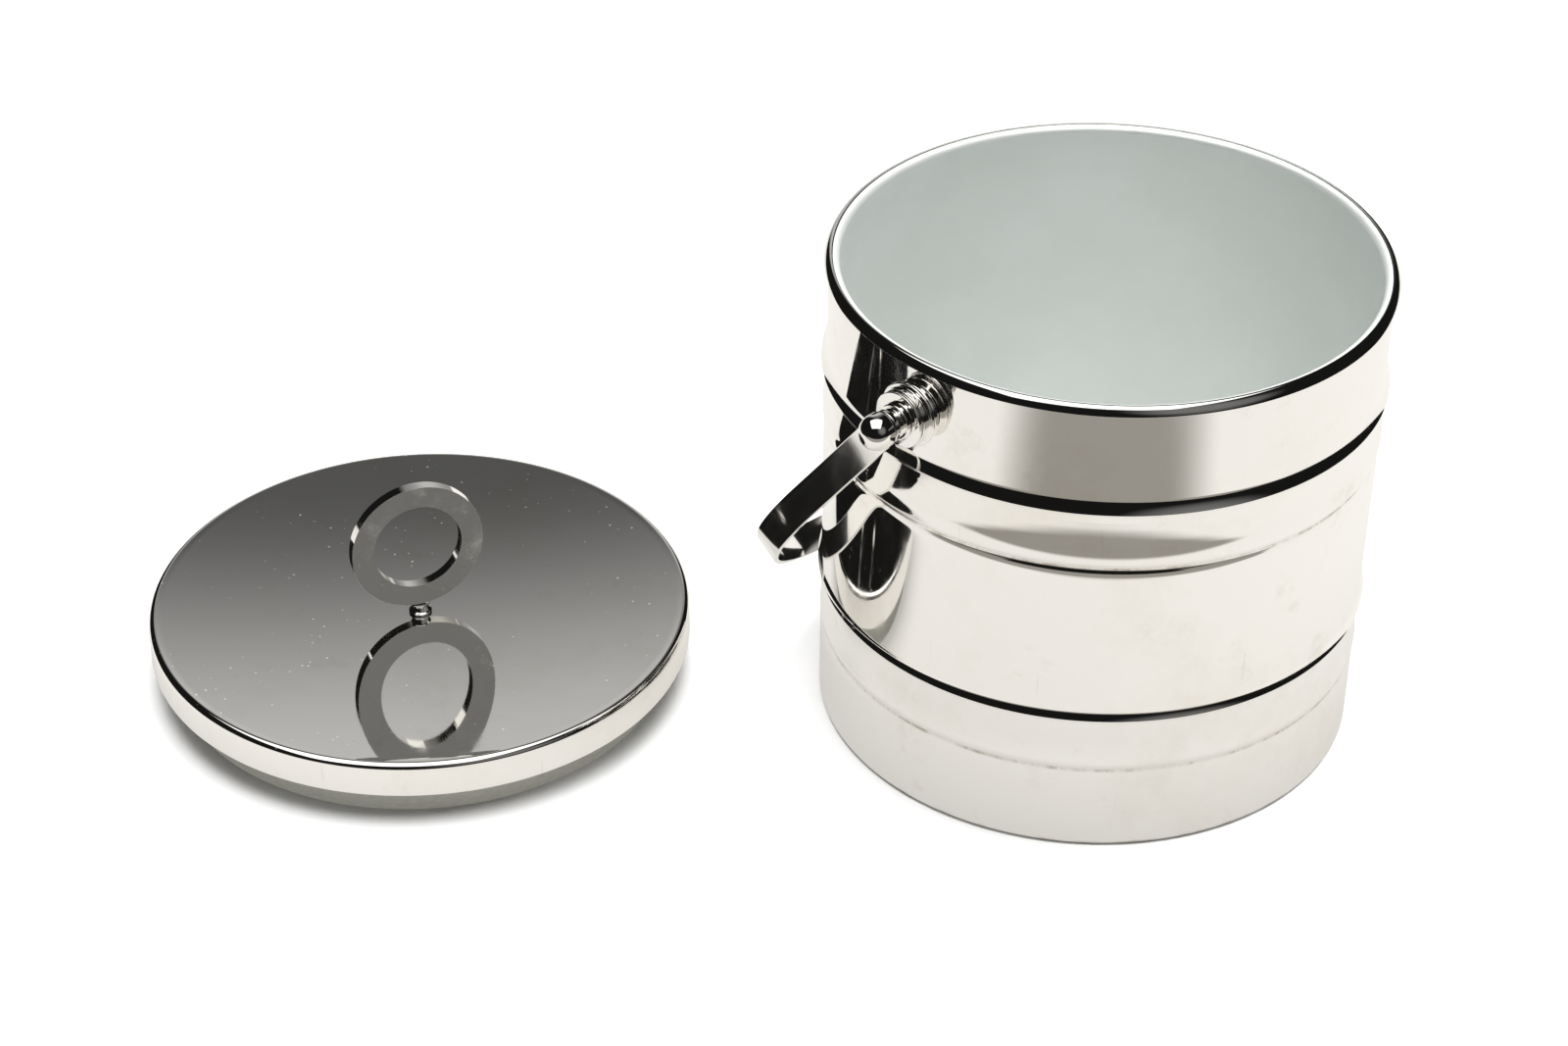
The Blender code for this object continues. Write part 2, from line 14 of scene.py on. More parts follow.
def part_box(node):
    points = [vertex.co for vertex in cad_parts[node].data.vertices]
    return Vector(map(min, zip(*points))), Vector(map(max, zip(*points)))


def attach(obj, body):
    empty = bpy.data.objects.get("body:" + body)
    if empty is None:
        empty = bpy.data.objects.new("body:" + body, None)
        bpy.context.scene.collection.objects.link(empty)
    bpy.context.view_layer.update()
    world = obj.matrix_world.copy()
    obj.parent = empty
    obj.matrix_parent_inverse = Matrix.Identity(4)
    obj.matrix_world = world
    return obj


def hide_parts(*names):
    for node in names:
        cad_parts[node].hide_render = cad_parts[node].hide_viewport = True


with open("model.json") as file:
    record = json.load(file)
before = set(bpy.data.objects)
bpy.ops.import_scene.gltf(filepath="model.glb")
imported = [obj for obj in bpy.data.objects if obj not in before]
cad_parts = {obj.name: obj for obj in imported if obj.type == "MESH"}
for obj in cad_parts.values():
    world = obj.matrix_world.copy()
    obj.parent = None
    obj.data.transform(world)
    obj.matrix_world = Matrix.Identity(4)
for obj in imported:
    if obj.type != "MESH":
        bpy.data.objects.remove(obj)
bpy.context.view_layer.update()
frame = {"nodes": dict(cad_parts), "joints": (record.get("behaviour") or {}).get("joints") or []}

MM = 0.001
BODY_STEPS = 256
FITTING_STEPS = 72
FILLET_STEPS = 6
STRAP_STEPS = 96
STRAP_HOLE_STEPS = 48
STRAP_EDGE_STEPS = 3
OVAL_STEPS = 96
OVAL_EDGE_STEPS = 8
SCREW_HOLE_STEPS = 24
SUPPORT = 0.12 * MM
MERGE = 0.000002
TURNED_SHARP = math.radians(38.0)
FLAT_SHARP = math.radians(60.0)
BEVEL_FROM = math.radians(50.0)

# Clearance between pieces, and the fillets of sheet edges
GAP = 0.3 * MM
KEEN = 0.1 * MM
CRISP = 0.2 * MM
SOFT = 0.3 * MM

# Driving sizes, read from the frame
SHELL_LOW, SHELL_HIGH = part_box("outer_shell")
RIM_LOW, RIM_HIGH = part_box("rim_ring")
LINER_LOW, LINER_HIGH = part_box("inner_liner")
LID_LOW, LID_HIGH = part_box("lid_cover")
PAN_LOW, PAN_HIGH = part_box("lid_pan")
STEM_LOW, STEM_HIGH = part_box("finial_stem")
RING_LOW, RING_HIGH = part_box("finial_ring")
RIDGE_R = (SHELL_HIGH.x - SHELL_LOW.x) / 2
RIM_R = (RIM_HIGH.x - RIM_LOW.x) / 2
LIP_R = (LINER_HIGH.x - LINER_LOW.x) / 2
LID_R = (LID_HIGH.x - LID_LOW.x) / 2
FLANGE_R = (PAN_HIGH.x - PAN_LOW.x) / 2
LID_AT = (LID_LOW + LID_HIGH) / 2
SWING = next(joint for joint in frame["joints"] if joint["name"] == "handle_swing")
PIVOT = Vector(SWING["pos_m"])
PIVOT_OUT = -Vector(SWING["axis"]).normalized()

# Wall of the bucket: how far in from the upper ridge each part lies, and its height above the table
BODY_R = RIDGE_R - 2.0 * MM
DRUM_LOW_R = RIDGE_R - 1.65 * MM
FOOT_R = RIDGE_R - 1.6 * MM
LOWER_RIDGE_R = RIDGE_R - 0.3 * MM
WALL_IN_R = RIDGE_R - 3.0 * MM
UPPER_RIDGE_Z = 145.7 * MM
UPPER_RIDGE_SWELL = 4.9 * MM
LOWER_RIDGE_Z = 57.6 * MM
LOWER_RIDGE_SWELL = 3.2 * MM
RIDGE_TUCK = 0.1 * MM
RIDGE_EDGE = 0.8 * MM
RIDGE_UNDER = 1.4 * MM
RIDGE_POWER = 1.5
FOOT_ROUND = 0.9 * MM
UPPER_BEAD = (
    (1.95, 141.5), (1.90, 138.0), (1.70, 134.5), (1.38, 131.6), (1.00, 129.2), (0.82, 127.4), (0.78, 125.6),
    (0.90, 124.4), (1.25, 123.5), (1.70, 122.8), (2.02, 122.3), (2.05, 121.8), (1.88, 121.1), (1.62, 120.0),
    (1.46, 118.7), (1.36, 116.3), (1.30, 112.5),
)
LOWER_BEAD = (
    (1.75, 49.5), (1.80, 46.2), (1.72, 42.8), (1.52, 39.8), (1.36, 38.2), (1.30, 37.2), (1.38, 36.3),
    (1.62, 35.5), (1.80, 34.7), (1.76, 33.2), (1.62, 30.8),
)
# Bands of painted shade as (low, high) heights in millimetres: the dark line at the base contact, and under
# each ridge and bead
BODY_SHADE_BANDS = ((0.9, 2.0), (33.8, 35.2), (56.2, 56.8), (121.4, 122.6), (144.3, 144.9))
LAP_R = 90.0 * MM
SHEET = 1.0 * MM

# Rim and liner: tilts are degrees from level, along the rim's round section
RIM_IN_R = RIM_R - 2.9 * MM
RIM_SIDE_ROUND = 6.2 * MM
RIM_CROWN_ROUND = 2.2 * MM
RIM_LOW_TILT = 18.0
RIM_CROWN_TILT = 44.0
RIM_TOP_TILT = 87.0
SKIRT_EDGE = 0.15 * MM
LIP_CURL = 2.55 * MM
LIP_END_TILT = 95.0
LINER_CORNER = 7.0 * MM

# Pivots: outsides from the outer end in, as (radius, distance from the bucket's axis, fillet) in millimetres
PIVOT_BORE_R = 2.3 * MM
WALL_CUT = 40.0 * MM
PIVOT_STACK = (
    ("foot", "pivot_foot", ((11.0, 104.2, 0.8), (11.0, 102.2, 0.8), (9.4, 100.7, 0.4), (9.4, 99.4, 0.0))),
    (
        "drum",
        "pivot_drum",
        (
            (9.4, 109.2, 0.15), (9.4, 108.7, 0.15), (10.3, 108.7, 0.5),
            (10.3, 105.9, 0.3), (11.8, 105.9, 0.45), (11.8, 104.5, 0.45),
        ),
    ),
    ("disc", "pivot_washer", ((10.3, 110.7, 0.35), (10.3, 109.5, 0.35))),
    (
        "bush",
        "handle_bush",
        (
            (3.4, 117.5, 0.2), (3.4, 115.0, 0.1), (5.0, 115.0, 0.2),
            (5.0, 112.8, 0.3), (6.6, 112.8, 0.5), (6.6, 111.0, 0.3),
        ),
    ),
)
NUT_IN = 117.8 * MM
NUT_R = 6.4 * MM
NUT_DOME_AT = 121.0 * MM
NUT_EDGE = 0.8 * MM
LOW_NUT_R = 4.4 * MM
LOW_NUT_TOP = 120.8 * MM
LOW_NUT_DOME_AT = 118.9 * MM
LOW_NUT_EDGE = 0.15 * MM
NUT_BORE_END = {"near": 121.3 * MM, "far": 119.6 * MM}

# Handle: a strap with straight legs and an oval bend, and how far below level it hangs
STRAP_REACH = 116.3 * MM
STRAP_LEG = 57.9 * MM
STRAP_APEX = 172.8 * MM
STRAP_THICK = 2.0 * MM
STRAP_WIDTH = 12.0 * MM
STRAP_HOLE_R = 3.7 * MM
STRAP_EDGE = 0.35 * MM
REST_ANGLE = math.radians(52.0)

# Lid: its top is a shallow bowl, deepest at the finial
LID_DISH = 5.6 * MM
LID_SHOULDER = 2.5 * MM
SHOULDER_START = 96.0
LID_BORE_R = 1.9 * MM
PLUG_R = 95.5 * MM
PLUG_CORNER = 1.5 * MM
PLUG_BEND = 0.5 * MM

# Finial: an oval ring cut from plate, turned a little from the camera, on a waisted stem
STEM_R = 4.4 * MM
STEM_WAIST_R = STEM_R - 1.0 * MM
STEM_TOP_R = STEM_R - 0.5 * MM
STEM_FLARE = 0.9 * MM
STEM_FOOT = (0.7 * MM, 1.2 * MM)
WAIST_TOP_BEND = 0.5 * MM
WAIST_LOW_BEND = 0.4 * MM
OVAL_HALF_WIDTH = 26.0 * MM
OVAL_HALF_HEIGHT = 26.5 * MM
OVAL_BAND = 8.6 * MM
OVAL_THICK = 4.2 * MM
OVAL_EDGE = 1.7 * MM
OVAL_TURN = math.radians(25.0)
SCREW_DRILL = 12.0 * MM
SCREW_HOLE = 5.4 * MM

# Camera: a long lens, above and in front, turned a little towards +X
CAMERA_AT = Vector((-0.0721, -1.0964, 0.8186))
CAMERA_HEADING = math.radians(3.653)
CAMERA_DOWN = math.radians(36.455)
CAMERA_ROLL = math.radians(-0.200)
CAMERA_LENS = 81.01
CAMERA_SENSOR = 36.0
CAMERA_SHIFT = (0.0453, 0.0822)
CAMERA_NEAR = 0.01

# Studio: the softbox's edges as tangents from the zenith, the pale sweep behind, and a far grey panel
SOFTBOX_X = (-0.70, 0.45)
SOFTBOX_Y = (-0.75, 0.50)
SOFTBOX_EDGE = 0.06
SOFTBOX_GLOW = 1.6
SWEEP_TOP = (0.42, 0.70)
SWEEP_GLOW = (0.50, 0.08)
SWEEP_X = (-0.42, 0.22)
SWEEP_EDGE = 0.12
SWEEP_BACK = (0.1, 0.5)
PANEL_TOWARDS = (0.523, -0.637, 0.566)
PANEL_NEARNESS = (0.86, 1.0)
PANEL_GLOW = 0.17
ROOM_GLOW = 0.008
ROOM_COLOUR = (1.0, 0.995, 0.985, 1.0)
HORIZON = 0.02
BACKDROP_GLOW = 1.05
LIGHT_AT = (0.22, 0.32, 1.5)
LIGHT_SPREAD = 2.6
LIGHT_POWER = 80.0

# Floor: pale to the camera, and in reflections a sheet of paper on a darker table that also glows with
# painted light
FLOOR_X = (-0.8, 0.8)
FLOOR_Y = (-0.85, 1.3)
FLOOR_PALE = ((0.93, 0.93, 0.925), (0.95, 0.95, 0.945))
PAPER_FRONT = -0.335
PAPER_FADE = 0.04
PAPER_DIM = (0.20, 0.196, 0.187)
PAPER_GLOW = (0.46, 0.45, 0.435)
TABLE_DIM = (0.06, 0.057, 0.053)
TABLE_GLOW = (0.19, 0.18, 0.16)

# Metals: colours, the sizes of their wear, and the brown and edge of the painted shade bands
PAINTED_SHADE_EDGE = 0.4 * MM
HAIRLINE_DEPTH = 0.0012 * MM
GRAIN_DEPTH = 0.01 * MM
SILVER = (0.95, 0.938, 0.91)
SILVER_WARM = (0.84, 0.79, 0.70)
SILVER_CLOUDED = (0.80, 0.76, 0.69)
SILVER_SCRATCHED = (0.72, 0.70, 0.66)
# Brown of the painted shade under the ridges and beads and at the base
PAINTED_SHADE = (0.40, 0.35, 0.27)
SATIN_LIGHT = (0.77, 0.79, 0.775)
SATIN_DARK = (0.72, 0.745, 0.725)
SATIN_SPOT = (0.28, 0.29, 0.28)

# Sockets of a Mix node that share their names, by number
MIX_FLOATS_IN = (2, 3)
MIX_COLOURS_IN = (6, 7)
MIX_COLOUR_OUT = 2

# ---------------------------------------------------------------- profiles and turned pieces


def flare(top, bottom, count=10):
    """A wall that leaves the vertical at top and swells, ever faster, down to bottom."""
    points = []
    for index in range(count + 1):
        part = index / count
        radius = top[0] + (bottom[0] - top[0]) * part**RIDGE_POWER
        points.append((radius, top[1] + (bottom[1] - top[1]) * part, 0.0))
    return points


def flowing(table, count=6):
    """A smooth curve through a table of (inset from the upper ridge, height), both in millimetres."""
    given = [Vector((RIDGE_R - inset * MM, height * MM)) for inset, height in table]
    given = [given[0] * 2 - given[1], *given, given[-1] * 2 - given[-2]]
    points = []
    for before, start, end, after in zip(given, given[1:], given[2:], given[3:]):
        for index in range(count):
            part = index / count
            bend = (after - before + (start - end) * 3) * part**3
            bend += (before * 2 - start * 5 + end * 4 - after) * part**2
            at = start + (bend + (end - before) * part) / 2
            points.append((at.x, at.y, 0.0))
    points.append((given[-2].x, given[-2].y, 0.0))
    return points


def arc(centre, radius, start, end, count=16):
    """Points of an arc in (radius, height), angles in degrees from +X."""
    points = []
    for index in range(count + 1):
        angle = math.radians(start + (end - start) * index / count)
        at = (centre[0] + radius * math.cos(angle), centre[1] + radius * math.sin(angle))
        points.append((at[0], at[1], 0.0))
    return points


def dish(inner, outer, drop, count=40):
    """The lid's shallow bowl from radius inner out to radius outer, drop below its top surface."""
    points = []
    for index in range(count + 1):
        radius = inner + (outer - inner) * index / count
        sunk = LID_DISH * (1.0 - (radius / (LID_R - LID_SHOULDER)) ** 2)
        points.append((radius, LID_HIGH.z - sunk - drop, 0.0))
    return points


def fillet(before, corner, after, radius):
    """The points that round off one corner, with a support point on each straight side."""
    to_before = Vector(before) - Vector(corner)
    to_after = Vector(after) - Vector(corner)
    if to_before.length < MERGE or to_after.length < MERGE:
        return [Vector(corner)]
    first = to_before.normalized()
    last = to_after.normalized()
    half = first.angle(last) / 2
    reach = min(radius / math.tan(half), to_before.length * 0.45, to_after.length * 0.45)
    real = reach * math.tan(half)
    middle = Vector(corner) + (first + last).normalized() * (real / math.sin(half))
    start = Vector(corner) + first * reach - middle
    end = Vector(corner) + last * reach - middle
    sweep = math.atan2(start.x * end.y - start.y * end.x, start.dot(end))
    points = [Vector(corner) + first * min(reach + SUPPORT, to_before.length * 0.49)]
    for index in range(FILLET_STEPS + 1):
        points.append(middle + Matrix.Rotation(sweep * index / FILLET_STEPS, 2) @ start)
    points.append(Vector(corner) + last * min(reach + SUPPORT, to_after.length * 0.49))
    return points


def rounded(corners, closed):
    """A profile with each corner (radius, height, fillet) rounded off."""
    points = []
    count = len(corners)
    for index, (radius, height, rounding) in enumerate(corners):
        inside = closed or 0 < index < count - 1
        if rounding <= 0.0 or not inside:
            points.append(Vector((radius, height)))
            continue
        before = corners[index - 1][:2]
        after = corners[(index + 1) % count][:2]
        points += fillet(before, (radius, height), after, rounding)
    return points


def along(direction, origin):
    """Frame at origin whose +Z runs along direction."""
    return Matrix.Translation(origin) @ Vector(direction).to_track_quat("Z", "Y").to_matrix().to_4x4()


def bake(obj):
    """Turns the modifiers of obj into its mesh."""
    graph = bpy.context.evaluated_depsgraph_get()
    mesh = bpy.data.meshes.new_from_object(obj.evaluated_get(graph))
    obj.modifiers.clear()
    obj.data = mesh


def add_object(name, mesh, matrix=None):
    obj = bpy.data.objects.new(name, mesh)
    bpy.context.scene.collection.objects.link(obj)
    if matrix is not None:
        obj.matrix_world = matrix
    bpy.context.view_layer.update()
    return obj


def finish_piece(obj, body, material, nodes):
    """Gives a piece its material, and puts it on its body in place of its CAD nodes."""
    obj.data.materials.clear()
    obj.data.materials.append(material)
    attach(obj, body)
    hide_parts(*nodes)
    return obj


def turned(name, corners, steps=BODY_STEPS, matrix=None):
    """Spins a profile round Z.  One that starts on the axis is open; any other is a closed loop."""
    closed = corners[0][0] > MERGE
    mesh = bpy.data.meshes.new(name)
    build = bmesh.new()
    verts = [build.verts.new((point.x, 0.0, point.y)) for point in rounded(corners, closed)]
    pairs = list(zip(verts, verts[1:]))
    if closed:
        pairs.append((verts[-1], verts[0]))
    for pair in pairs:
        build.edges.new(pair)
    bmesh.ops.remove_doubles(build, verts=build.verts, dist=MERGE)
    build.to_mesh(mesh)
    build.free()
    obj = add_object(name, mesh, matrix)
    screw = obj.modifiers.new("turned", "SCREW")
    screw.axis = "Z"
    screw.angle = math.tau
    screw.steps = steps
    screw.render_steps = steps
    screw.use_merge_vertices = True
    screw.merge_threshold = MERGE
    bake(obj)
    obj.data.shade_smooth()
    obj.data.set_sharp_from_angle(angle=TURNED_SHARP)
    return obj


# ---------------------------------------------------------------- materials


class Nodes:
    """Short ways to build the node tree of a material or of the world."""

    def __init__(self, owner):
        owner.use_nodes = True
        self.owner = owner
        self.tree = owner.node_tree
        self.shader = self.tree.nodes.get("Principled BSDF")
        self.place = self.add("ShaderNodeTexCoord").outputs["Object" if self.shader else "Generated"]

    def add(self, kind, **settings):
        node = self.tree.nodes.new(kind)
        for key, value in settings.items():
            setattr(node, key, value)
        return node

    def join(self, output, node_input):
        self.tree.links.new(output, node_input)

    def split(self):
        """The place's X, Y and Z."""
        node = self.add("ShaderNodeSeparateXYZ")
        self.join(self.place, node.inputs[0])
        return node.outputs

    def mapped(self, scale):
        """The place, stretched along each axis whose scale is under 1."""
        mapping = self.add("ShaderNodeMapping")
        mapping.inputs["Scale"].default_value = scale
        self.join(self.place, mapping.inputs["Vector"])
        return mapping.outputs["Vector"]

    def noise(self, scale, detail=3.0, roughness=0.5, vector=None):
        noise = self.add("ShaderNodeTexNoise")
        noise.inputs["Scale"].default_value = scale
        noise.inputs["Detail"].default_value = detail
        noise.inputs["Roughness"].default_value = roughness
        self.join(vector or self.place, noise.inputs["Vector"])
        return noise.outputs["Fac"]

    def specks(self, scale, size):
        """Small round spots: 1 in a spot, 0 elsewhere."""
        cells = self.add("ShaderNodeTexVoronoi")
        cells.inputs["Scale"].default_value = scale
        self.join(self.place, cells.inputs["Vector"])
        return self.ramp(cells.outputs["Distance"], size * 0.5, size, 1.0, 0.0)

    def ramp(self, value, low, high, to_low=0.0, to_high=1.0):
        """Maps low..high to to_low..to_high, clamped and smooth."""
        node = self.add("ShaderNodeMapRange", interpolation_type="SMOOTHSTEP")
        for key, number in zip(("From Min", "From Max", "To Min", "To Max"), (low, high, to_low, to_high)):
            node.inputs[key].default_value = number
        self.join(value, node.inputs["Value"])
        return node.outputs["Result"]

    def band(self, value, low, high, edge):
        """1 between low and high, 0 outside, with soft edges."""
        rise = self.ramp(value, low - edge, low + edge)
        return self.math("MULTIPLY", rise, self.ramp(value, high - edge, high + edge, 1.0, 0.0))

    def math(self, operation, first, second=None):
        node = self.add("ShaderNodeMath", operation=operation)
        for socket, value in zip(node.inputs, (first, second)):
            if value is None:
                continue
            if isinstance(value, (int, float)):
                socket.default_value = value
            else:
                self.join(value, socket)
        return node.outputs[0]

    def blend(self, factor, first, second):
        """Mixes two colours; each is a tuple or an output."""
        node = self.add("ShaderNodeMix", data_type="RGBA")
        self.join(factor, node.inputs["Factor"])
        for key, value in zip(MIX_COLOURS_IN, (first, second)):
            if isinstance(value, tuple):
                node.inputs[key].default_value = (*value, 1.0)
            else:
                self.join(value, node.inputs[key])
        return node.outputs[MIX_COLOUR_OUT]

    def bump(self, height, distance, below=None):
        """A normal from a height of 0 to 1 that is distance deep, on top of the normal below."""
        node = self.add("ShaderNodeBump")
        node.inputs["Strength"].default_value = 1.0
        node.inputs["Distance"].default_value = distance
        self.join(height, node.inputs["Height"])
        if below is not None:
            self.join(below, node.inputs["Normal"])
        return node.outputs["Normal"]

    def set(self, **values):
        for key, value in values.items():
            socket = self.shader.inputs[key.replace("_", " ")]
            if isinstance(value, (int, float, tuple)):
                socket.default_value = value
            else:
                self.join(value, socket)


def silver(name, roughness=0.03, wave=0.02, warm=0.35, haze=0.12, ripple=11.0, shade_bands=(), dust=0.0):
    """Polished silver plate with its wear, and with bands of painted shade.

    wave and ripple are the depth in millimetres and the fineness of the metal's waviness, haze is the
    roughness that wiping adds, warm and dust are amounts, and the list of bands gives the heights
    (low, high) where shade is painted into the silver.
    """
    nodes = Nodes(bpy.data.materials.new(name))
    patches = nodes.ramp(nodes.noise(14.0, 6.0, 0.65), 0.48, 0.78, 0.0, warm)
    colour = nodes.blend(patches, SILVER, SILVER_WARM)
    cloudy = nodes.ramp(nodes.noise(45.0, 5.0, 0.7), 0.55, 0.80, 0.0, warm)
    colour = nodes.blend(cloudy, colour, SILVER_CLOUDED)
    streaks = nodes.ramp(nodes.noise(90.0, 4.0, 0.7, nodes.mapped((1.0, 1.0, 0.2))), 0.42, 0.70, 0.1, 0.75)
    # Painted shade: each listed band of heights turns brown, broken up by streaks
    for low, high in shade_bands:
        line = nodes.band(nodes.split()[2], low * MM, high * MM, PAINTED_SHADE_EDGE)
        colour = nodes.blend(nodes.math("MULTIPLY", line, streaks), colour, PAINTED_SHADE)
    scratched = nodes.noise(420.0, 2.0, 0.5, nodes.mapped((1.0, 1.0, 0.06)))
    colour = nodes.blend(nodes.ramp(scratched, 0.71, 0.76, 0.0, 0.25), colour, SILVER_SCRATCHED)
    wipes = nodes.noise(60.0, 4.0, 0.65, nodes.mapped((1.0, 1.0, 0.35)))
    rough = nodes.ramp(wipes, 0.45, 0.85, roughness, roughness + haze)
    hairlines = nodes.noise(900.0, 2.0, 0.5, nodes.mapped((0.25, 1.0, 0.6)))
    uneven = nodes.bump(nodes.noise(ripple, 2.0, 0.4), wave * MM)
    nodes.set(Base_Color=colour, Metallic=1.0, Roughness=rough)
    nodes.set(Normal=nodes.bump(hairlines, HAIRLINE_DEPTH, below=uneven))
    if dust:
        dusty = nodes.ramp(nodes.noise(50.0), 0.45, 0.70, 0.0, dust)
        grains = nodes.math("MULTIPLY", nodes.specks(230.0, 0.13), dusty)
        nodes.set(Metallic=nodes.math("SUBTRACT", 1.0, grains))
    return nodes.owner


def satin(name):
    """Satin anodised aluminium: fine grain, faint rubs and a few dark spots."""
    nodes = Nodes(bpy.data.materials.new(name))
    cloud = nodes.ramp(nodes.noise(18.0, 4.0, 0.55), 0.35, 0.75)
    colour = nodes.blend(cloud, SATIN_DARK, SATIN_LIGHT)
    spots = nodes.specks(9.0, 0.035)
    colour = nodes.blend(nodes.math("MULTIPLY", spots, 0.55), colour, SATIN_SPOT)
    grain = nodes.noise(2600.0, 2.0, 0.6)
    rough = nodes.ramp(nodes.noise(70.0, 4.0, 0.6), 0.3, 0.8, 0.36, 0.46)
    nodes.set(Base_Color=colour, Metallic=0.5, Roughness=rough, Normal=nodes.bump(grain, GRAIN_DEPTH))
    return nodes.owner


def plain_metal(name, colour, roughness):
    """Turned or spun metal with fine lines round it."""
    nodes = Nodes(bpy.data.materials.new(name))
    lines = nodes.noise(400.0, 3.0, 0.6, nodes.mapped((1.0, 1.0, 6.0)))
    shade = nodes.blend(nodes.ramp(lines, 0.3, 0.7), colour, tuple(part * 0.85 for part in colour))
    rough = nodes.ramp(lines, 0.3, 0.7, roughness, roughness + 0.12)
    nodes.set(Base_Color=shade, Metallic=1.0, Roughness=rough, Normal=nodes.bump(lines, GRAIN_DEPTH))
    return nodes.owner


def soft_material(name, colour, scale, depth):
    """Foam, felt or rubber: a mottled matt surface with a fine bump."""
    nodes = Nodes(bpy.data.materials.new(name))
    grain = nodes.noise(scale, 5.0, 0.7)
    shade = nodes.blend(nodes.ramp(grain, 0.3, 0.7), tuple(part * 0.7 for part in colour), colour)
    rough = nodes.ramp(grain, 0.2, 0.8, 0.8, 0.95)
    nodes.set(Base_Color=shade, Roughness=rough, Normal=nodes.bump(grain, depth))
    return nodes.owner


# ---------------------------------------------------------------- bucket


def ridge_corners(top_r, swell, crest, under_r):
    """Sharp ridge: the wall swells from top_r to its crest, then tucks back to under_r."""
    radius, height = crest
    corners = flare((top_r, height + swell), crest)[:-1]
    corners += [(radius, height, CRISP), (radius - RIDGE_TUCK, height - RIDGE_EDGE, SOFT)]
    corners += [(under_r, height - RIDGE_UNDER, SOFT)]
    return corners


def shell_corners():
    """The wall's profile: outer side from the rim down to the lap under the base, then up inside."""
    low = SHELL_LOW.z
    corners = [(BODY_R, SHELL_HIGH.z, KEEN)]
    corners += ridge_corners(BODY_R, UPPER_RIDGE_SWELL, (RIDGE_R, UPPER_RIDGE_Z), BODY_R + 0.2 * MM)
    corners += flowing(UPPER_BEAD)
    corners += ridge_corners(DRUM_LOW_R, LOWER_RIDGE_SWELL, (LOWER_RIDGE_R, LOWER_RIDGE_Z), DRUM_LOW_R)
    corners += flowing(LOWER_BEAD)
    corners += [(FOOT_R, low, FOOT_ROUND), (LAP_R, low, CRISP), (LAP_R, low + SHEET, CRISP)]
    corners += [(WALL_IN_R, low + SHEET, SOFT), (WALL_IN_R, SHELL_HIGH.z, KEEN)]
    return corners


def rim_corners():
    """Rolled rim: a tight crown next to the liner's lip, a long round side and a straight skirt edge."""
    low = math.radians(RIM_LOW_TILT)
    crown = math.radians(RIM_CROWN_TILT)
    side_at = (RIM_R - RIM_SIDE_ROUND * math.cos(low), RIM_LOW.z - RIM_SIDE_ROUND * math.sin(low))
    step = RIM_SIDE_ROUND - RIM_CROWN_ROUND
    crown_at = (side_at[0] + step * math.cos(crown), side_at[1] + step * math.sin(crown))
    skirt_r = BODY_R + GAP
    under = SHELL_HIGH.z + GAP
    corners = arc(crown_at, RIM_CROWN_ROUND, RIM_TOP_TILT, RIM_CROWN_TILT, 10)
    corners += arc(side_at, RIM_SIDE_ROUND, RIM_CROWN_TILT, RIM_LOW_TILT, 14)[1:-1]
    corners += [(RIM_R, RIM_LOW.z, SKIRT_EDGE), (skirt_r, RIM_LOW.z, KEEN), (skirt_r, under, KEEN)]
    corners += [(RIM_IN_R, under, KEEN)]
    return corners


def liner_corners():
    """Satin cup: flat floor, round corner, straight wall and a lip that curls out to the rim."""
    bore = LIP_R - LIP_CURL
    floor = LINER_LOW.z + SHEET
    corner = (bore - LINER_CORNER, floor + LINER_CORNER)
    lip = (LIP_R, LINER_HIGH.z - LIP_CURL)
    corners = [(0.0, floor, 0.0)]
    corners += arc(corner, LINER_CORNER, -90, 0, 14)
    corners += arc(lip, LIP_CURL, 180, LIP_END_TILT, 18)
    corners += [(LIP_R, LINER_HIGH.z, CRISP), (LIP_R, LINER_HIGH.z - SHEET, CRISP)]
    corners += arc(lip, LIP_CURL - SHEET, LIP_END_TILT, 180, 12)
    corners += arc(corner, LINER_CORNER + SHEET, 0, -90, 14)
    corners += [(0.0, LINER_LOW.z, 0.0)]
    return corners


def make_bucket(finishes):
    for name, corners, finish, slot, node in (
        ("bucket_wall", shell_corners(), "body", "silver_body", "outer_shell"),
        ("rolled_rim", rim_corners(), "body", "silver_body", "rim_ring"),
        ("liner_cup", liner_corners(), "liner", "satin_liner", "inner_liner"),
    ):
        finish_piece(turned(name, corners), "bucket", finishes[finish], [node])


# ---------------------------------------------------------------- pivots and handle


def dome_nut():
    """Outside of the near cap nut, from the tip in: a half ball on a short barrel."""
    corners = [(0.0, NUT_DOME_AT + NUT_R, 0.0)]
    corners += arc((0.0, NUT_DOME_AT), NUT_R, 86, 0, 22)
    corners += [(NUT_R, NUT_IN, NUT_EDGE)]
    return corners


def low_nut():
    """Outside of the far cap nut, from the tip in: a low dome."""
    rise = LOW_NUT_TOP - LOW_NUT_DOME_AT
    corners = [(0.0, LOW_NUT_TOP, 0.0)]
    for tilt in range(85, -5, -5):
        turn = math.radians(tilt)
        corners.append((LOW_NUT_R * math.cos(turn), LOW_NUT_DOME_AT + rise * math.sin(turn), 0.0))
    corners += [(LOW_NUT_R, NUT_IN, LOW_NUT_EDGE)]
    return corners


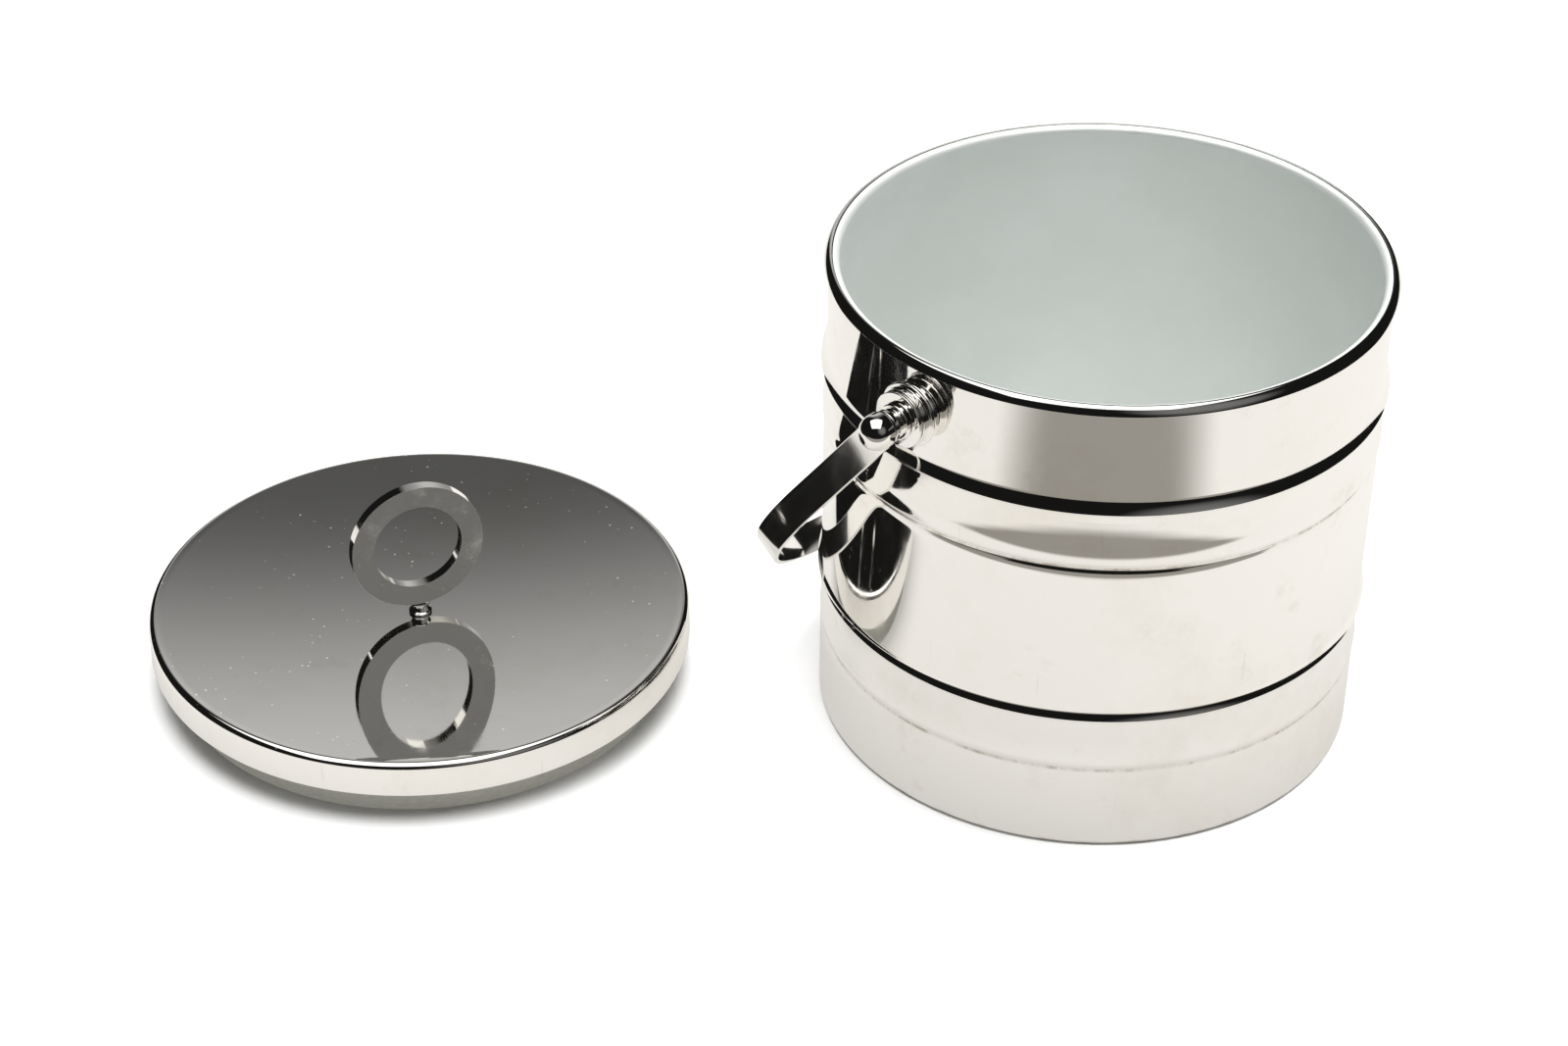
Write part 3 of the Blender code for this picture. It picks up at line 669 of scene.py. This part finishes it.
def make_pivot(side, outward, finishes):
    """The stack at one end of the handle, from the soldered foot out to the cap nut."""
    axis = along(outward, PIVOT)

    def piece(name, node, corners):
        obj = turned(f"{name}_{side}", corners, FITTING_STEPS, axis)
        return finish_piece(obj, "bucket", finishes["fittings"], [f"{node}_{side}"])

    for name, node, outside in PIVOT_STACK:
        corners = [(radius * MM, out * MM, rounding * MM) for radius, out, rounding in outside]
        corners += [(PIVOT_BORE_R, corners[-1][1], 0.0), (PIVOT_BORE_R, corners[0][1], 0.0)]
        obj = piece(name, node, corners)
        if name == "foot":
            trim_to_wall(obj)
    bore_end = NUT_BORE_END[side]
    nut = dome_nut() if side == "near" else low_nut()
    nut += [(PIVOT_BORE_R, NUT_IN, 0.0), (PIVOT_BORE_R, bore_end, 0.0), (0.0, bore_end, 0.0)]
    piece("end_nut", "cap_nut", nut)


def trim_to_wall(obj):
    """Cuts the back of a pivot foot to the curve of the wall."""
    wall = cylinder(BODY_R + GAP, WALL_CUT, Matrix.Translation(PIVOT), BODY_STEPS)
    cut(obj, wall)
    bake(obj)
    bpy.data.objects.remove(wall, do_unlink=True)


def cylinder(radius, depth, matrix, steps):
    """A cutter, centred on the origin of matrix and along its Z."""
    bpy.ops.mesh.primitive_cylinder_add(vertices=steps, radius=radius, depth=depth)
    obj = bpy.context.object
    obj.matrix_world = matrix
    return obj


def cut(obj, cutter, operation="DIFFERENCE"):
    boolean = obj.modifiers.new(cutter.name, "BOOLEAN")
    boolean.operation = operation
    boolean.object = cutter


def soften(obj, width, steps):
    """Rounds every edge between two faces that meet at more than a slight angle."""
    edges = obj.modifiers.new("edges", "BEVEL")
    edges.width = width
    edges.segments = steps
    edges.limit_method = "ANGLE"
    edges.angle_limit = BEVEL_FROM


def flat_curve(name, points, extrude, filled):
    """A mesh extruded both ways from a flat outline: a solid when filled, or else a ribbon along a path."""
    curve = bpy.data.curves.new(name, "CURVE")
    curve.dimensions = "2D"
    curve.fill_mode = "BOTH" if filled else "NONE"
    curve.extrude = extrude
    spline = curve.splines.new("POLY")
    spline.points.add(len(points) - 1)
    spline.use_cyclic_u = filled
    for target, point in zip(spline.points, points):
        target.co = (point[0], point[1], 0.0, 1.0)
    obj = bpy.data.objects.new(name, curve)
    bpy.context.scene.collection.objects.link(obj)
    graph = bpy.context.evaluated_depsgraph_get()
    mesh = bpy.data.meshes.new_from_object(obj.evaluated_get(graph))
    bpy.data.objects.remove(obj, do_unlink=True)
    build = bmesh.new()
    build.from_mesh(mesh)
    bmesh.ops.remove_doubles(build, verts=build.verts, dist=MERGE)
    bmesh.ops.recalc_face_normals(build, faces=build.faces)
    build.to_mesh(mesh)
    build.free()
    return mesh


def strap_path():
    """Middle line of the strap: two straight legs that run on past the pivots, and the bend between."""
    points = [(STRAP_REACH, -STRAP_WIDTH), (STRAP_REACH, STRAP_LEG * 0.5)]
    for index in range(STRAP_STEPS + 1):
        angle = math.pi * index / STRAP_STEPS
        rise = (STRAP_APEX - STRAP_LEG) * math.sin(angle)
        points.append((STRAP_REACH * math.cos(angle), STRAP_LEG + rise))
    points += [(-STRAP_REACH, STRAP_LEG * 0.5), (-STRAP_REACH, -STRAP_WIDTH)]
    return points


def strap_outline():
    """What is kept of the strap, along the pivot axis: round at the pivots, and wider than it elsewhere."""
    half = STRAP_WIDTH / 2
    past = half + GAP
    points = []
    for step in range(0, 181, 6):
        angle = math.radians(step)
        points.append((half * math.cos(angle), -half * math.sin(angle)))
    points += [(-past, 0.0), (-past, STRAP_APEX + STRAP_WIDTH), (past, STRAP_APEX + STRAP_WIDTH), (past, 0.0)]
    return points


def make_handle(finishes):
    """Flat strap bent into a U, with round drilled ends and softened edges."""
    level = Vector((PIVOT_OUT.y, -PIVOT_OUT.x, 0.0))
    hanging = level * math.cos(REST_ANGLE) - Vector((0.0, 0.0, 1.0)) * math.sin(REST_ANGLE)
    matrix = Matrix((PIVOT_OUT, hanging, PIVOT_OUT.cross(hanging))).transposed().to_4x4()
    matrix.translation = PIVOT
    strap = add_object("strap_handle", flat_curve("strap_path", strap_path(), STRAP_WIDTH / 2, False), matrix)
    sheet = strap.modifiers.new("sheet", "SOLIDIFY")
    sheet.thickness = STRAP_THICK
    sheet.offset = 0.0
    sheet.use_even_offset = True
    bake(strap)
    sideways = matrix @ Matrix.Rotation(math.pi / 2, 4, "Y")
    outline = flat_curve("strap_outline", strap_outline(), STRAP_REACH + STRAP_WIDTH, True)
    ends = add_object("strap_ends", outline, sideways)
    drill = cylinder(STRAP_HOLE_R, 2 * (STRAP_REACH + STRAP_WIDTH), sideways, STRAP_HOLE_STEPS)
    cut(strap, ends, "INTERSECT")
    cut(strap, drill)
    soften(strap, STRAP_EDGE, STRAP_EDGE_STEPS)
    bpy.context.view_layer.update()
    bake(strap)
    for cutter in (ends, drill):
        bpy.data.objects.remove(cutter, do_unlink=True)
    strap.data.transform(matrix)
    strap.matrix_world = Matrix.Identity(4)
    smooth_by_area(strap)
    finish_piece(strap, "handle", finishes["handle"], ["bail_handle"])


def smooth_by_area(obj):
    """Shades smooth, with each normal following the larger faces, so that flats stay flat."""
    obj.data.shade_smooth()
    obj.data.set_sharp_from_angle(angle=FLAT_SHARP)
    weighted = obj.modifiers.new("weighted", "WEIGHTED_NORMAL")
    weighted.weight = 100
    weighted.keep_sharp = True
    bake(obj)


# ---------------------------------------------------------------- lid


def cover_corners():
    """Lid's cover: the bowl from its middle out, the round shoulder, the edge band, and back underneath."""
    shoulder = (LID_R - LID_SHOULDER, LID_HIGH.z - LID_SHOULDER)
    bowl_end = shoulder[0] - LID_SHOULDER * math.sin(math.radians(SHOULDER_START - 90.0)) - SUPPORT
    corners = dish(LID_BORE_R, bowl_end, 0.0)
    corners += arc(shoulder, LID_SHOULDER, SHOULDER_START, 0, 18)
    corners += [(LID_R, LID_LOW.z, SOFT), (LID_R - SHEET, LID_LOW.z, SOFT)]
    corners += arc(shoulder, LID_SHOULDER - SHEET, 0, SHOULDER_START, 8)
    corners += reversed(dish(LID_BORE_R, bowl_end, SHEET))
    return corners


def pan_corners():
    """Lid's plug: a flat floor, a round corner, a straight side and a flange under the cover."""
    flange_low = PAN_HIGH.z - SHEET
    corner = (PLUG_R - PLUG_CORNER, PLUG_CORNER)
    corners = [(0.0, SHEET, 0.0)]
    corners += arc(corner, PLUG_CORNER - SHEET, -90, 0, 8)
    corners += [(PLUG_R - SHEET, PAN_HIGH.z, SOFT), (FLANGE_R, PAN_HIGH.z, CRISP)]
    corners += [(FLANGE_R, flange_low, CRISP), (PLUG_R, flange_low, PLUG_BEND)]
    corners += arc(corner, PLUG_CORNER, 0, -90, 12)
    corners += [(0.0, 0.0, 0.0)]
    return corners


def stem_corners():
    """Finial's stem: a flared foot, a waist and a small flare under the ring."""
    foot_top, waist_low = STEM_FOOT
    corners = [(STEM_TOP_R, STEM_HIGH.z, CRISP), (STEM_WAIST_R, STEM_HIGH.z - STEM_FLARE, WAIST_TOP_BEND)]
    corners += [(STEM_WAIST_R, STEM_LOW.z + waist_low, WAIST_LOW_BEND), (STEM_R, STEM_LOW.z + foot_top, SOFT)]
    corners += [(STEM_R, STEM_LOW.z, KEEN), (LID_BORE_R, STEM_LOW.z, 0.0), (LID_BORE_R, STEM_HIGH.z, 0.0)]
    return corners


def make_lid(finishes):
    origin = Matrix.Translation((LID_AT.x, LID_AT.y, 0.0))
    for name, corners, steps, finish, slot, node in (
        ("lid_top", cover_corners(), BODY_STEPS, "lid", "silver_lid", "lid_cover"),
        ("lid_plug", pan_corners(), BODY_STEPS, "shaded_plug", "satin_liner", "lid_pan"),
        ("finial_collar", stem_corners(), FITTING_STEPS, "finial", "silver_finial", "finial_stem"),
    ):
        finish_piece(turned(name, corners, steps, origin), "lid", finishes[finish], [node])


def oval(shrink):
    """The finial's outline, smaller all round by shrink."""
    points = []
    for index in range(OVAL_STEPS):
        angle = math.tau * index / OVAL_STEPS
        width = OVAL_HALF_WIDTH - shrink
        points.append((width * math.cos(angle), (OVAL_HALF_HEIGHT - shrink) * math.sin(angle)))
    return points


def make_finial(finishes):
    """Upright oval ring cut from plate, every edge rounded by polishing, with a hole for the screw."""
    centre = Vector((LID_AT.x, LID_AT.y, (RING_LOW.z + RING_HIGH.z) / 2))
    turned_to = Matrix.Translation(centre) @ Matrix.Rotation(OVAL_TURN, 4, "Z")
    upright = turned_to @ Matrix.Rotation(math.pi / 2, 4, "X")
    ring = add_object("oval_finial", flat_curve("finial_outer", oval(0.0), OVAL_THICK / 2, True), upright)
    hole = add_object("finial_hole", flat_curve("finial_inner", oval(OVAL_BAND), OVAL_THICK, True), upright)
    drill_at = Vector((LID_AT.x, LID_AT.y, RING_LOW.z + SCREW_HOLE - SCREW_DRILL / 2))
    drill = cylinder(LID_BORE_R, SCREW_DRILL, Matrix.Translation(drill_at), SCREW_HOLE_STEPS)
    cut(ring, hole)
    soften(ring, OVAL_EDGE, OVAL_EDGE_STEPS)
    cut(ring, drill)
    bpy.context.view_layer.update()
    bake(ring)
    for cutter in (hole, drill):
        bpy.data.objects.remove(cutter, do_unlink=True)
    smooth_by_area(ring)
    finish_piece(ring, "lid", finishes["finial"], ["finial_ring"])


# ---------------------------------------------------------------- studio


def make_world():
    """A dark room with one softbox overhead and a pale sweep behind; the camera itself sees plain white."""
    world = bpy.data.worlds.new("studio")
    bpy.context.scene.world = world
    nodes = Nodes(world)
    across, back, rise = nodes.split()
    up = nodes.math("MAXIMUM", rise, HORIZON)
    box_x = nodes.band(nodes.math("DIVIDE", across, up), *SOFTBOX_X, SOFTBOX_EDGE)
    box_y = nodes.band(nodes.math("DIVIDE", back, up), *SOFTBOX_Y, SOFTBOX_EDGE)
    box = nodes.math("MULTIPLY", nodes.math("MULTIPLY", box_x, box_y), SOFTBOX_GLOW)
    aside = nodes.math("DIVIDE", across, nodes.math("MAXIMUM", back, HORIZON))
    sweep_x = nodes.band(aside, *SWEEP_X, SWEEP_EDGE)
    sweep = nodes.math("MULTIPLY", nodes.ramp(back, *SWEEP_BACK), nodes.ramp(rise, *SWEEP_TOP, *SWEEP_GLOW))
    sweep = nodes.math("MULTIPLY", sweep, sweep_x)
    towards = nodes.add("ShaderNodeVectorMath", operation="DOT_PRODUCT")
    nodes.join(nodes.place, towards.inputs[0])
    towards.inputs[1].default_value = PANEL_TOWARDS
    panel = nodes.ramp(towards.outputs["Value"], *PANEL_NEARNESS, ROOM_GLOW, PANEL_GLOW)
    room = nodes.math("ADD", nodes.math("ADD", box, sweep), panel)
    reflected, seen = MIX_FLOATS_IN
    strength = nodes.add("ShaderNodeMix", data_type="FLOAT")
    nodes.join(nodes.add("ShaderNodeLightPath").outputs["Is Camera Ray"], strength.inputs["Factor"])
    nodes.join(room, strength.inputs[reflected])
    strength.inputs[seen].default_value = BACKDROP_GLOW
    background = nodes.tree.nodes["Background"]
    background.inputs["Color"].default_value = ROOM_COLOUR
    nodes.join(strength.outputs[0], background.inputs["Strength"])


def make_light():
    """A round diffuser overhead.  Polish mirrors the softbox of the room in its place."""
    data = bpy.data.lights.new("overhead", "AREA")
    data.shape = "DISK"
    data.size = LIGHT_SPREAD
    data.energy = LIGHT_POWER
    light = bpy.data.objects.new("overhead", data)
    bpy.context.scene.collection.objects.link(light)
    light.location = LIGHT_AT
    light.rotation_euler = (-Vector(LIGHT_AT)).to_track_quat("-Z", "Y").to_euler()
    light.visible_camera = False
    light.visible_glossy = False


def pale_table():
    """White paper with a straight front edge.  Only reflections show it dim, with the table before it, and
    there it also glows: painted light that keeps the mirrored floor bright where the bucket shades it.
    """
    nodes = Nodes(bpy.data.materials.new("pale_table"))
    pale = nodes.blend(nodes.ramp(nodes.noise(3.0, 2.0, 0.5), 0.3, 0.7), *FLOOR_PALE)
    on_paper = nodes.ramp(nodes.split()[1], PAPER_FRONT - PAPER_FADE, PAPER_FRONT + PAPER_FADE)
    dim = nodes.blend(on_paper, TABLE_DIM, PAPER_DIM)
    glow = nodes.blend(on_paper, TABLE_GLOW, PAPER_GLOW)
    in_mirror = nodes.add("ShaderNodeLightPath").outputs["Is Glossy Ray"]
    nodes.set(Base_Color=nodes.blend(in_mirror, pale, dim), Roughness=0.6, Specular_IOR_Level=0.0)
    # Painted light: in reflections the floor glows by PAPER_GLOW and TABLE_GLOW, the same in shadow as in
    # light
    nodes.set(Emission_Color=glow, Emission_Strength=in_mirror)
    return nodes.owner


def make_floor():
    mesh = bpy.data.meshes.new("floor")
    build = bmesh.new()
    left, right = FLOOR_X
    front, back = FLOOR_Y
    corners = [(left, front), (right, front), (right, back), (left, back)]
    build.faces.new([build.verts.new((x, y, 0.0)) for x, y in corners])
    build.to_mesh(mesh)
    build.free()
    floor = add_object("floor", mesh)
    floor.data.materials.append(pale_table())


def make_camera():
    """The photograph's camera, its lens shifted to frame the object as the photograph does."""
    lens = bpy.data.cameras.new("camera")
    lens.lens = CAMERA_LENS
    lens.sensor_width = CAMERA_SENSOR
    lens.shift_x, lens.shift_y = CAMERA_SHIFT
    lens.clip_start = CAMERA_NEAR
    camera = bpy.data.objects.new("camera", lens)
    bpy.context.scene.collection.objects.link(camera)
    heading = Matrix.Rotation(CAMERA_HEADING, 4, "Z") @ Matrix.Rotation(math.pi / 2 - CAMERA_DOWN, 4, "X")
    camera.matrix_world = Matrix.Translation(CAMERA_AT) @ heading @ Matrix.Rotation(CAMERA_ROLL, 4, "Z")
    bpy.context.scene.camera = camera


def make_finishes():
    return {
        "body": silver("polished_body", warm=0.6, shade_bands=BODY_SHADE_BANDS),
        "lid": silver("polished_lid", roughness=0.03, wave=0.01, warm=0.45, haze=0.06, dust=0.25),
        "finial": silver("polished_finial", roughness=0.04, wave=0.15, haze=0.45, ripple=60.0),
        "handle": silver("polished_handle", roughness=0.06, wave=0.01, warm=0.3, haze=0.08),
        "fittings": silver("polished_fittings", roughness=0.05, wave=0.01, warm=0.6),
        "liner": satin("satin_aluminium"),
        # The plug is the liner's satin aluminium made darker and fully metallic: painted shade for the dark
        # under the lid's edge, with a mirror finish that also reflects the dark floor below
        "shaded_plug": plain_metal("plug_painted_shade", (0.50, 0.50, 0.455), 0.3),
        "steel": plain_metal("turned_steel", (0.55, 0.55, 0.56), 0.3),
        "foam": soft_material("insulating_foam", (0.85, 0.80, 0.66), 700.0, 0.1 * MM),
        "rubber": soft_material("black_rubber", (0.05, 0.05, 0.05), 900.0, 0.02 * MM),
        "felt": soft_material("green_felt", (0.05, 0.08, 0.06), 1800.0, 0.1 * MM),
    }


def finish_hidden_nodes(finishes):
    """Materials for the CAD pieces that stay as they are: fillings, felt and fasteners."""
    for finish, nodes in (
        ("foam", ("insulation_jacket", "base_insulation", "lid_insulation")),
        ("steel", ("base_plate", "finial_washer", "finial_screw", "pivot_screw_near", "pivot_screw_far")),
        ("rubber", ("rim_gasket",)),
        ("felt", ("base_felt",)),
    ):
        for node in nodes:
            mesh = frame["nodes"][node].data
            mesh.materials.clear()
            mesh.materials.append(finishes[finish])


bpy.context.scene.view_settings.view_transform = "Standard"
make_camera()
make_world()
make_light()
make_floor()
finishes = make_finishes()
make_bucket(finishes)
make_pivot("near", PIVOT_OUT, finishes)
make_pivot("far", -PIVOT_OUT, finishes)
make_handle(finishes)
make_lid(finishes)
make_finial(finishes)
finish_hidden_nodes(finishes)
